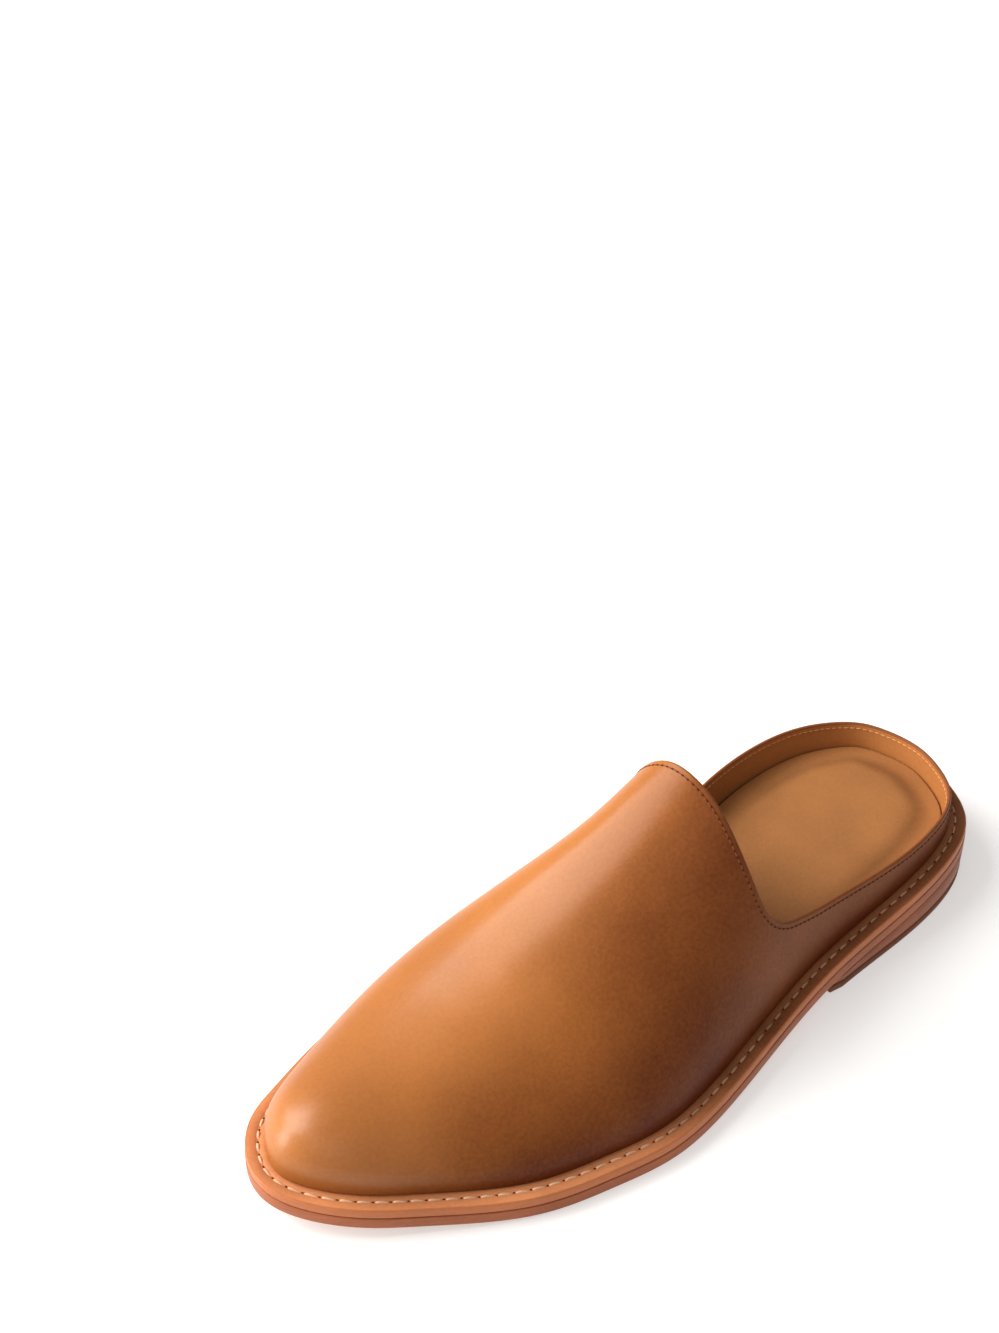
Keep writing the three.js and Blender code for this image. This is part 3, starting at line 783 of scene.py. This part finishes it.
def rounded(top, bottom, radius, side, steps=4):
    """Profile of a sanded edge between two heights."""
    turns = [math.pi / 2 * k / steps for k in range(steps + 1)]
    upper_part = [(radius * (1 - math.sin(a)), lambda x, a=a: top(x) - radius * (1 - math.cos(a)), side)
                  for a in turns]
    lower_part = [(radius * (1 - math.cos(a)), lambda x, a=a: bottom(x) + radius * (1 - math.sin(a)), side)
                  for a in turns]
    return upper_part + lower_part


RING_STATIONS = 220
RING = sides_ring(RING_STATIONS)
print("ring:", len(RING), "points")

# %% [markdown]
# ## Welt
#
# The welt is a strip of leather sewn round the foot of the upper; the sole is stitched to it. A shallow
# groove is cut into its top, in which the thread lies below the surface and is safe from wear. One profile
# swept round the outline makes strip and groove at once, without the rough edges of a boolean cut.

# %% Welt piece
TOP, SIDE = 0, 1
STITCH_INSET = 3.9
GROOVE = {"width": 0.9, "depth": 0.35, "steps": 4}
WELT_ROUND, WELT_TUCK = 0.5, 0.4
TRIMMED = 0.2  # the outsole's upper corner stands out beyond the welt by this much and catches the light
PRESSED = 0.8  # share of the gap that stitching and pegging close
WELT_SHADE_ACROSS = (-60, 20)


def welt_seat(x):
    """Pressed and stitched, the welt lies tight on the outsole."""
    return welt_bottom(x) - PRESSED * GAP


def groove(share):
    """One line of the profile, at a share of the groove's half width from its middle."""
    hollow = GROOVE["depth"] * (1 - share * share)
    return STITCH_INSET + GROOVE["width"] * share, lambda x: welt_top(x) - hollow, TOP


profile = [(WELT_SHOW + WALL, welt_top, TOP), (WELT_SHOW - WELT_TUCK, welt_top, TOP)]
profile += [groove(-k / GROOVE["steps"]) for k in range(-GROOVE["steps"], GROOVE["steps"] + 1)]
profile += [(TRIMMED + i, h, m) for i, h, m in rounded(welt_top, welt_seat, WELT_ROUND, SIDE)]
profile += [(WELT_SHOW + WALL, welt_seat, SIDE)]
welt = finish_mesh(layer(RING, profile, covers=False), "mule_welt", "welt",
                   [welt_leather, welt_edge])


def painted_welt_shade(where):
    """Painted shade on the welt's top, which the upper shades beside the waist and the heel; none round the
    toe.
    """
    return smooth(*WAIST, where[:, 0]) * smooth(*WELT_SHADE_ACROSS, where[:, 1])


# The welt's top gets painted shade beside the waist and the heel
set_shade(welt, 0.8 * painted_welt_shade(places_of(welt)))
print("welt faces:", len(welt.data.polygons))

# %% [markdown]
# ## Outsole
#
# The outsole is cut from thick, firm leather. Its edge is trimmed flush with the welt and burnished darker.
# It takes the welt's ring with a plain rounded profile, so that both edges run together.

# %% Outsole piece
SOLE_ROUND, SOLE_LIP = 0.45, 3
EDGE, BASE = 0, 1
profile = [(SOLE_LIP, sole_top, EDGE), *rounded(sole_top, sole_bottom, SOLE_ROUND, EDGE),
           (SOLE_LIP, sole_bottom, BASE)]
outsole = finish_mesh(layer(RING, profile, columns=10), "mule_outsole", "outsole",
                      [sole_edge, sole_base])
print("outsole faces:", len(outsole.data.polygons))

# %% [markdown]
# ## Heel
#
# The heel is a stack of leather lifts pegged together, with a dark rubber lift that meets the floor. It is
# cut square at its front, the breast, and draws in a little towards the floor. Its own ring ends straight at
# the breast, and the top of the stack follows the sole.

# %% Heel pieces
BREAST_CORNER, BREAST_EASE = 1.2, 0.48
HEEL_STATIONS, HEEL_COLUMNS = 41, 6
HEEL_BEVEL = 0.4
LIFT_TRIM = 0.2  # the top lift is trimmed a little inside the stack


def heel_ring(inset):
    """Outline of the heel: round the back between the corners of the breast, then straight across."""
    ends = row_at("outer", HEEL_LENGTH, inset), row_at("inner", HEEL_LENGTH, inset) - count
    outer = outline(np.linspace(heel_end, ends[0], HEEL_STATIONS)[:-1], inset)[0]
    inner = outline(np.linspace(ends[1], heel_end, HEEL_STATIONS)[1:-1], inset)[0]
    corners = outline(np.array(ends), inset)[0]
    front = HEEL_LENGTH - max(inset - HEEL_TAPER, 0)
    line = [(front, corners[0][1] - BREAST_CORNER), (front, (corners[0][1] + corners[1][1]) / 2),
            (front, corners[1][1] + BREAST_CORNER)]
    for part in (outer, inner):
        part[:, 0] = np.minimum(part[:, 0], front - BREAST_EASE)
    return np.concatenate([outer, line, inner])


def heel_layer(bottom, top, name, node_name, material, trim=0.0):
    """A layer of the heel between a flat bottom and a top that may follow the sole, with bevelled edges."""
    bm = bmesh.new()
    rings = []
    for z, bevel in ((bottom, HEEL_BEVEL), (bottom + HEEL_BEVEL, 0)):
        points = heel_ring(HEEL_TAPER * (1 - z / HEEL_HEIGHT) + bevel)
        rings.append([(*q, min(z, float(top(q[0])))) for q in points])
    for bevel, drop in ((0, HEEL_BEVEL), (HEEL_BEVEL, 0)):
        rings.append([(*q, float(top(q[0])) - drop) for q in heel_ring(bevel + trim)])
    rings = [[bm.verts.new((np.array(q) - MIDDLE) * MM) for q in points] for points in rings]
    size = len(rings[0])
    for low, high in zip(rings, rings[1:]):
        for i in range(size):
            j = (i + 1) % size
            bm.faces.new([low[i], low[j], high[j], high[i]])
    for ring in (rings[0], rings[-1]):
        close_across(bm, ring, HEEL_COLUMNS, 0, None)
    return finish_mesh(bm, name, node_name, [material])


def stack_top(x):
    return sole_bottom(x) - (1 - PRESSED) * GAP


top_lift = heel_layer(0, lambda x: TOP_LIFT, "mule_top_lift", "top_lift", lift_rubber,
                      trim=LIFT_TRIM)
heel_stack = heel_layer(TOP_LIFT + GAP, stack_top, "mule_heel_stack", "heel_stack",
                        stack_leather)
print("heel faces:", len(heel_stack.data.polygons) + len(top_lift.data.polygons))

# %% [markdown]
# ## Insole
#
# The foot stands on a leather sock over a filled insole. Under the heel lies a thin soft cushion whose edge
# shows through the sock as a gentle step. A bump in the material would vanish at a low angle, so the step is
# raised in the mesh, by the distance from the insole's edge.

# %% Insole piece
INSOLE_INSET = WELT_SHOW + WALL + INSOLE_GAP
INSOLE_ROUND = 0.6
CUSHION_EDGE, CUSHION_FADE = (3.5, 13), (0, 45)  # from the insole's edge, and back from the cushion's end
DIP, DIP_EDGE, DIP_FADE = 0.4, (14, 34), (8, 45)
# Where painted shade lies on the cushion's step, and where the painted shadow of the vamp falls
STEP_AREA, UNDER_VAMP = (85, 45), (30, 120)

insole_edge = KDTree(len(RING))
for i, spot in enumerate(outline(RING, INSOLE_INSET)[0]):
    insole_edge.insert((*spot, 0), i)
insole_edge.balance()


def from_edge(x, y):
    """How far a point of the insole lies from its edge."""
    return insole_edge.find((x, y, 0))[2]


def cushion(at):
    """Relief of the heel cushion, with a slight dip where the heel rests. It fades out under the vamp."""
    x, y = at.x / MM + MIDDLE[0], at.y / MM + MIDDLE[1]
    ahead = INSOLE_INSET + CUSHION_LENGTH - x
    edge = float(smooth(*CUSHION_EDGE, from_edge(x, y)) * smooth(*CUSHION_FADE, ahead))
    dip = DIP * float(smooth(*DIP_EDGE, from_edge(x, y)) * smooth(*DIP_FADE, ahead))
    return (CUSHION_RISE * edge - dip) * MM


def insole_top(x):
    return welt_top(x) + INSOLE_RISE


profile = [(INSOLE_INSET + i, h, m) for i, h, m in rounded(insole_top, welt_bottom, INSOLE_ROUND, 0)]
insole = finish_mesh(layer(RING, profile, columns=40, relief=cushion), "mule_insole", "insole",
                     [insole_leather])
# Painted shade on the insole: along the cushion's sloping step, and a painted shadow forward under the vamp
where = places_of(insole)
rise = where[:, 2] - insole_top(where[:, 0])
half_rise = CUSHION_RISE / 2
step = np.clip(1 - np.abs(rise - half_rise) / half_rise, 0, 1) * smooth(*STEP_AREA, where[:, 0])
set_shade(insole, 0.35 * step + 0.75 * smooth(*UNDER_VAMP, where[:, 0]))
print("insole faces:", len(insole.data.polygons))

# %% [markdown]
# ## Stitches
#
# A stitch is a short bow of thread between two holes. One set of geometry nodes makes every row of them: it
# takes the points of a row with the way along and the way out at each, and sets a bow or a hole on each one.
# Copies placed one by one would do too, but nodes keep thread, length and turn in one place.

# %% Geometry nodes for rows of stitches
def stitch_nodes():
    tree = bpy.data.node_groups.new("stitch_row", "GeometryNodeTree")
    put = tree.interface.new_socket
    put(name="Geometry", in_out="INPUT", socket_type="NodeSocketGeometry")
    for title, value in (("Length", 4.0), ("Thread", 0.7), ("Rise", 0.5), ("Sink", 0.3), ("Turn", 0.05),
                         ("Lead", 0.0)):
        put(name=title, in_out="INPUT", socket_type="NodeSocketFloat").default_value = value * MM
    put(name="Seed", in_out="INPUT", socket_type="NodeSocketInt").default_value = 4
    put(name="Material", in_out="INPUT", socket_type="NodeSocketMaterial")
    put(name="Geometry", in_out="OUTPUT", socket_type="NodeSocketGeometry")
    given, end = tree.nodes.new("NodeGroupInput").outputs, tree.nodes.new("NodeGroupOutput")

    def scaled(title, factor):
        return maths(tree, "MULTIPLY", given[title], factor)

    def spot(x, z):
        return node(tree, "ShaderNodeCombineXYZ", {"X": x, "Z": z}).outputs[0]

    def stored(title):
        return node(tree, "GeometryNodeInputNamedAttribute", {"Name": title},
                    data_type="FLOAT_VECTOR").outputs["Attribute"]

    under = scaled("Sink", -1.0)
    bow = node(tree, "GeometryNodeCurveQuadraticBezier",
               {"Resolution": 8, "Start": spot(scaled("Length", -0.5), under),
                "Middle": spot(given["Lead"], scaled("Rise", 2.0)),
                "End": spot(scaled("Length", 0.5), under)})
    circle = node(tree, "GeometryNodeCurvePrimitiveCircle",
                  {"Resolution": 8, "Radius": scaled("Thread", 0.5)})
    tube = node(tree, "GeometryNodeCurveToMesh",
                {"Curve": bow.outputs[0], "Profile Curve": circle.outputs[0], "Fill Caps": True})
    upright = node(tree, "FunctionNodeAlignRotationToVector", {"Vector": stored("out")}, axis="Z")
    aligned = node(tree, "FunctionNodeAlignRotationToVector",
                   {"Rotation": upright.outputs[0], "Vector": stored("along")}, axis="X", pivot_axis="Z")
    wobble = node(tree, "FunctionNodeRandomValue",
                  {2: scaled("Turn", -1.0 / MM), 3: scaled("Turn", 1.0 / MM), "Seed": given["Seed"]},
                  data_type="FLOAT")
    spin = node(tree, "FunctionNodeAxisAngleToRotation", {"Angle": wobble.outputs[1]})
    turned = node(tree, "FunctionNodeRotateRotation", {0: aligned.outputs[0], 1: spin.outputs[0]},
                  rotation_space="LOCAL")
    points = node(tree, "GeometryNodeMeshToPoints", {"Mesh": given["Geometry"]})
    bows = node(tree, "GeometryNodeInstanceOnPoints",
                {"Points": points.outputs[0], "Instance": tube.outputs[0], "Rotation": turned.outputs[0]})
    real = node(tree, "GeometryNodeRealizeInstances", {0: bows.outputs[0]})
    painted = node(tree, "GeometryNodeSetMaterial",
                   {"Geometry": real.outputs[0], "Material": given["Material"]})
    feed(tree, end, {0: painted.outputs[0]})
    return tree


STITCHES = stitch_nodes()
print("stitch nodes:", len(STITCHES.nodes))


def stitch_row(name, slot, material, points, seed, **sizes):
    """A row of stitches. points holds a place, a way along and a way out for each; sizes go to the nodes."""
    mesh = bpy.data.meshes.new(name + "_points")
    mesh.from_pydata([p for p, _, _ in points], [], [])
    for title, k in (("along", 1), ("out", 2)):
        data = mesh.attributes.new(title, "FLOAT_VECTOR", "POINT").data
        data.foreach_set("vector", np.array([q[k] for q in points], "float32").ravel())
    source = placed(name + "_points", mesh)
    sewing = source.modifiers.new("stitches", "NODES")
    sewing.node_group = STITCHES
    values = {title: size * MM for title, size in sizes.items()}
    values |= {"Seed": seed, "Material": material}
    for item in STITCHES.interface.items_tree:
        if item.item_type == "SOCKET" and item.in_out == "INPUT" and item.name in values:
            sewing[item.identifier] = values[item.name]
    depsgraph = bpy.context.evaluated_depsgraph_get()
    made = bpy.data.meshes.new_from_object(source.evaluated_get(depsgraph))
    bpy.data.objects.remove(source)
    made.name = name
    made.shade_smooth()
    row = placed(name, made)
    # Painted shade on the thread beside the waist and the heel, as on the welt; only the welt's thread reads
    # it
    set_shade(row, 0.7 * painted_welt_shade(places_of(row)))
    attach(row, "root")
    print(name + ":", len(points), "pieces,", len(made.polygons), "faces")
    return row


def along_path(path, pitch, shift=0.0):
    """Even steps along a closed path of places and ways out."""
    places = np.array([p for p, _ in path])
    outs = np.array([o for _, o in path])
    closed = np.vstack([places, places[:1]])
    closed_outs = np.vstack([outs, outs[:1]])
    reach = np.concatenate([[0], np.cumsum(np.linalg.norm(np.diff(closed, axis=0), axis=1))])
    number = round(reach[-1] / (pitch * MM))
    at = (np.arange(number) + shift) / number * reach[-1]

    def pick(values, s):
        return np.column_stack([np.interp(s % reach[-1], reach, values[:, k]) for k in range(3)])

    step = 0.3 * pitch * MM
    ways = pick(closed, at + step) - pick(closed, at - step)
    ways /= np.linalg.norm(ways, axis=1, keepdims=True)
    found = pick(closed_outs, at)
    found /= np.linalg.norm(found, axis=1, keepdims=True)
    return list(zip(pick(closed, at).tolist(), ways.tolist(), found.tolist()))


# %% [markdown]
# ## Welt stitches
#
# Thick waxed thread, about five stitches to the inch, pulled down into the groove of the welt. Between two
# bows the awl leaves a small hole, and a dark disc paints the shade inside it.

# %% Welt thread and holes
WELT_PITCH, LINE_POINTS = 5.08, 1500
p, _ = outline(np.linspace(heel_end, heel_end + count, LINE_POINTS, endpoint=False), STITCH_INSET)
welt_line = [(Vector((q[0] - MIDDLE[0], q[1] - MIDDLE[1], welt_top(q[0]) - GROOVE["depth"])) * MM,
              Vector((0, 0, 1))) for q in p]
stitch_row("welt_stitches", "welt_leather", thread, along_path(welt_line, WELT_PITCH),
           4, Length=3.5, Thread=0.9, Rise=0.36, Sink=0.5, Turn=0.05, Lead=1.2)
stitch_row("welt_holes", "welt_leather", painted_hole_shade, along_path(welt_line, WELT_PITCH, 0.46),
           9, Length=0.6, Thread=0.55, Rise=0.02, Sink=0.06, Turn=0.2)

# %% [markdown]
# ## Collar stitches
#
# A fine seam runs round the opening, close under the rolled edge, and holds the lining. Outside its thread is
# dark, inside it is pale. Its line is found on the finished surface, so it follows the collar as it is.

# %% Collar seams
COLLAR_INSET, COLLAR_PITCH = 1.3, 2.15


def collar_path(tree, depth):
    """The collar drawn down from its edge, on the outer face or on the lining."""
    path = []
    for at, out, way in collar:
        guess = at - way * COLLAR_INSET * MM - out * depth * MM
        found, normal, _, _ = tree.find_nearest(guess)
        path.append((found, normal if depth == 0 else -out))
    return path


outer_seam = collar_path(outside_tree, 0)
inner_seam = collar_path(inside_tree, WALL)
fine = {"Length": 1.6, "Thread": 0.42, "Rise": 0.12, "Sink": 0.16, "Turn": 0.08}
stitch_row("collar_stitches", "upper_leather", dark_thread, along_path(outer_seam, COLLAR_PITCH), 5, **fine)
# Discs of painted shade for the awl holes of the collar seam
stitch_row("collar_holes", "upper_leather", painted_hole_shade, along_path(outer_seam, COLLAR_PITCH, 0.5),
           7, Length=0.65, Thread=0.6, Rise=0.0, Sink=0.05, Turn=0.1)
stitch_row("lining_stitches", "upper_leather", light_thread, along_path(inner_seam, COLLAR_PITCH), 6, **fine)

# %% [markdown]
# ## Floor, light and camera
#
# A plain pale floor that glows faintly, so that shadows stay light, and soft studio light: a broad key lamp
# high on the inner side, a small low one for the highlight of the toe, a weak fill on the outer side and an
# even pale surround. The camera looks down from the outer front corner with a long lens.

# %% Stage
CAMERA_AT, LENS = (511.9, 344.1, 523.1), 61.1
AZIMUTH, ELEVATION = math.radians(137.58), math.radians(37.73)
floor_mesh = bpy.data.meshes.new("floor")
floor_mesh.from_pydata([(-4, -4, 0), (4, -4, 0), (4, 4, 0), (-4, 4, 0)], [], [(0, 1, 2, 3)])
floor = placed("floor", floor_mesh)
floor_paint = bpy.data.materials.new("floor_paint")
floor_paint.use_nodes = True
tree = floor_paint.node_tree
feed(tree, tree.nodes["Principled BSDF"],
     {"Base Color": (0.65, 0.65, 0.65, 1), "Roughness": 0.9, "Emission Color": (1.0, 1.0, 1.0, 1),
      "Emission Strength": 0.45})
floor_mesh.materials.append(floor_paint)

world = bpy.data.worlds.new("studio")
bpy.context.scene.world = world
world.use_nodes = True
tree = world.node_tree
feed(tree, tree.nodes["Background"], {"Color": (1.0, 0.97, 0.93, 1), "Strength": 0.36})


def lamp(name, place, size, power, tint=(1, 1, 1)):
    light = bpy.data.lights.new(name, "AREA")
    light.shape, light.size, light.size_y = "RECTANGLE", size, size
    light.energy, light.color = power, tint
    made = placed(name, light)
    made.location = place
    made.rotation_euler = (Vector((0, 0, 0.03)) - Vector(place)).to_track_quat("-Z", "Y").to_euler()


lamp("key", (0.65, -0.82, 1.02), 1.1, 32, (1.0, 0.98, 0.93))
lamp("spark", (1.1, -0.75, 0.3), 0.5, 9, (1.0, 0.98, 0.93))
lamp("fill", (0.9, 0.5, 0.9), 1.0, 2.5, (1.0, 0.97, 0.94))

back = Vector((math.sin(AZIMUTH) * math.cos(ELEVATION), -math.cos(AZIMUTH) * math.cos(ELEVATION),
               math.sin(ELEVATION)))
camera = placed("camera", bpy.data.cameras.new("camera"))
camera.data.lens = LENS
camera.location = Vector(np.array(CAMERA_AT) - MIDDLE) * MM
camera.rotation_euler = back.to_track_quat("Z", "Y").to_euler()
bpy.context.scene.camera = camera
bpy.context.scene.view_settings.view_transform = "Standard"
print("camera at", CAMERA_AT, "with a lens of", LENS, "mm")
